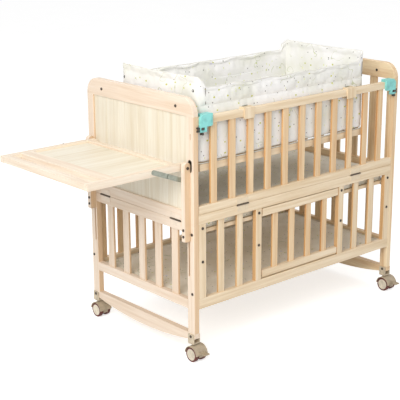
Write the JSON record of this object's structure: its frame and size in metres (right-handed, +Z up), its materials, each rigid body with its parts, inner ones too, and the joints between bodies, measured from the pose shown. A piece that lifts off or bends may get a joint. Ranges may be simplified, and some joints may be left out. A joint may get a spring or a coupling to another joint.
{
  "type": "cradle",
  "caption": "Wooden rocking cradle with slatted sides, a fold-down gate, a flap door, a folding side table, a lift-out fabric basket and swivel casters.",
  "frame": {"origin": "middle of the whole object's outline, on the floor", "axes": "+X from the headboard and its table to the footboard, +Y from the gate to the back, +Z up"},
  "size_m": [1.5642, 0.69, 1.058],
  "materials": {
    "end_wood": "satin clear lacquer",
    "side_wood": "satin clear lacquer",
    "panel_wood": "satin clear lacquer",
    "table_wood": "satin clear lacquer",
    "deck_wood": "plain",
    "dark_steel": "satin",
    "hinge_steel": "satin",
    "latch_plastic": "gloss",
    "dark_plastic": "matte",
    "basket_fabric": "cotton with a small scattered print",
    "mattress_fabric": "cotton with a small scattered print",
    "bracket_steel": "satin",
    "caster_plastic": "gloss",
    "hub_plastic": "gloss",
    "tyre": "matte"
  },
  "bodies": {
    "frame": {"left_rocker": "end_wood", "right_rocker": "end_wood", "left_legs": "end_wood", "left_lower_rails": "end_wood", "left_lower_slats": "side_wood", "headboard_stiles": "end_wood", "headboard_rails": "end_wood", "headboard_planks": "panel_wood", "headboard_socket": "dark_plastic", "headboard_hinges": "hinge_steel", "right_posts": "end_wood", "right_rails": "end_wood", "right_slats": "side_wood", "front_rails": "side_wood", "front_uprights": "side_wood", "back_rails": "side_wood", "back_uprights": "side_wood", "decks": "deck_wood", "deck_supports": "dark_steel", "upper_mattress": "mattress_fabric", "lower_mattress": "mattress_fabric", "frame_bolts": "dark_steel", "gate_hinge_mounts": "hinge_steel", "latch_keepers": "dark_steel", "door_pins": "hinge_steel", "caster_brackets": "bracket_steel"},
    "gate": {"gate_rails": "side_wood", "gate_slats": "side_wood", "gate_hinge_leaves": "hinge_steel", "gate_saddles": "side_wood", "latch_bodies": "latch_plastic"},
    "latch_left": {"latch_slider_left": "dark_plastic"},
    "latch_right": {"latch_slider_right": "dark_plastic"},
    "door": {"door_rails": "side_wood", "door_slats": "side_wood"},
    "bars": {"table_bars": "table_wood", "table_bar_bolts": "dark_steel"},
    "table": {"table_frame": "table_wood", "table_panel": "panel_wood", "table_stay_pins": "hinge_steel"},
    "stays_inner": {"table_stays_inner": "hinge_steel"},
    "stays_outer": {"table_stays_outer": "hinge_steel"},
    "basket": {"basket_shell": "basket_fabric", "basket_base": "table_wood", "basket_pad": "basket_fabric", "basket_hangers": "hinge_steel"},
    "caster_front_left": {"caster_housing_front_left": "caster_plastic"},
    "wheels_front_left": {"caster_tyres_front_left": "tyre", "caster_hubs_front_left": "hub_plastic"},
    "caster_front_right": {"caster_housing_front_right": "caster_plastic"},
    "wheels_front_right": {"caster_tyres_front_right": "tyre", "caster_hubs_front_right": "hub_plastic"},
    "caster_back_left": {"caster_housing_back_left": "caster_plastic"},
    "wheels_back_left": {"caster_tyres_back_left": "tyre", "caster_hubs_back_left": "hub_plastic"},
    "caster_back_right": {"caster_housing_back_right": "caster_plastic"},
    "wheels_back_right": {"caster_tyres_back_right": "tyre", "caster_hubs_back_right": "hub_plastic"},
    "brake_front_left": {"caster_brake_front_left": "caster_plastic"},
    "brake_front_right": {"caster_brake_front_right": "caster_plastic"}
  },
  "joints": [
    {"name": "gate_fold", "type": "hinge", "parent": "frame", "child": "gate", "pos_m": [0.2059, -0.29115, 0.5634], "axis": [1, 0, 0], "range_deg": [0, 170]},
    {"name": "latch_left_slide", "type": "slide", "parent": "gate", "child": "latch_left", "axis": [1, 0, 0], "range_m": [0, 0.006], "stiffness_N_per_m": 150, "springref_m": -0.01},
    {"name": "latch_right_slide", "type": "slide", "parent": "gate", "child": "latch_right", "axis": [-1, 0, 0], "range_m": [0, 0.006], "stiffness_N_per_m": 150, "springref_m": -0.01},
    {"name": "door_fold", "type": "hinge", "parent": "frame", "child": "door", "pos_m": [0.2059, -0.28015, 0.251], "axis": [-1, 0, 0], "range_deg": [-100, 0]},
    {"name": "table_height", "type": "slide", "parent": "frame", "child": "bars", "axis": [0, 0, 1], "range_m": [-0.135, 0]},
    {"name": "table_fold", "type": "hinge", "parent": "bars", "child": "table", "pos_m": [-0.3675, 0.02685, 0.741], "axis": [0, -1, 0], "range_deg": [0, 90]},
    {"name": "stay_inner_turn", "type": "hinge", "parent": "bars", "child": "stays_inner", "pos_m": [-0.3675, 0.02685, 0.692], "axis": [0, -1, 0], "range_deg": [0, 109.3]},
    {"name": "stay_outer_turn", "type": "hinge", "parent": "table", "child": "stays_outer", "pos_m": [-0.5021, 0.02685, 0.745], "axis": [0, -1, 0], "range_deg": [0, 19.3]},
    {"name": "basket_lift", "type": "slide", "parent": "frame", "child": "basket", "axis": [0, 0, 1], "range_m": [0, 0.35]},
    {"name": "swivel_front_left", "type": "hinge", "parent": "frame", "child": "caster_front_left", "pos_m": [-0.3421, -0.27015, 0.065], "axis": [0, 0, 1], "continuous": true},
    {"name": "roll_front_left", "type": "hinge", "parent": "caster_front_left", "child": "wheels_front_left", "pos_m": [-0.3421, -0.28215, 0.029], "axis": [1, 0, 0], "continuous": true},
    {"name": "brake_press_front_left", "type": "hinge", "parent": "caster_front_left", "child": "brake_front_left", "pos_m": [-0.3421, -0.31799, 0.041], "axis": [1, 0, 0], "range_deg": [0, 12]},
    {"name": "swivel_front_right", "type": "hinge", "parent": "frame", "child": "caster_front_right", "pos_m": [0.7539, -0.27015, 0.065], "axis": [0, 0, 1], "continuous": true},
    {"name": "roll_front_right", "type": "hinge", "parent": "caster_front_right", "child": "wheels_front_right", "pos_m": [0.7539, -0.28215, 0.029], "axis": [1, 0, 0], "continuous": true},
    {"name": "brake_press_front_right", "type": "hinge", "parent": "caster_front_right", "child": "brake_front_right", "pos_m": [0.7539, -0.31799, 0.041], "axis": [1, 0, 0], "range_deg": [0, 12]},
    {"name": "swivel_back_left", "type": "hinge", "parent": "frame", "child": "caster_back_left", "pos_m": [-0.3421, 0.32385, 0.065], "axis": [0, 0, 1], "continuous": true},
    {"name": "roll_back_left", "type": "hinge", "parent": "caster_back_left", "child": "wheels_back_left", "pos_m": [-0.3421, 0.31185, 0.029], "axis": [1, 0, 0], "continuous": true},
    {"name": "swivel_back_right", "type": "hinge", "parent": "frame", "child": "caster_back_right", "pos_m": [0.7539, 0.32385, 0.065], "axis": [0, 0, 1], "continuous": true},
    {"name": "roll_back_right", "type": "hinge", "parent": "caster_back_right", "child": "wheels_back_right", "pos_m": [0.7539, 0.31185, 0.029], "axis": [1, 0, 0], "continuous": true}
  ],
  "couplings": [
    {"joint": "stay_inner_turn", "follows": "table_fold", "ratio": 1.2091},
    {"joint": "stay_outer_turn", "follows": "table_fold", "ratio": 0.2091}
  ]
}
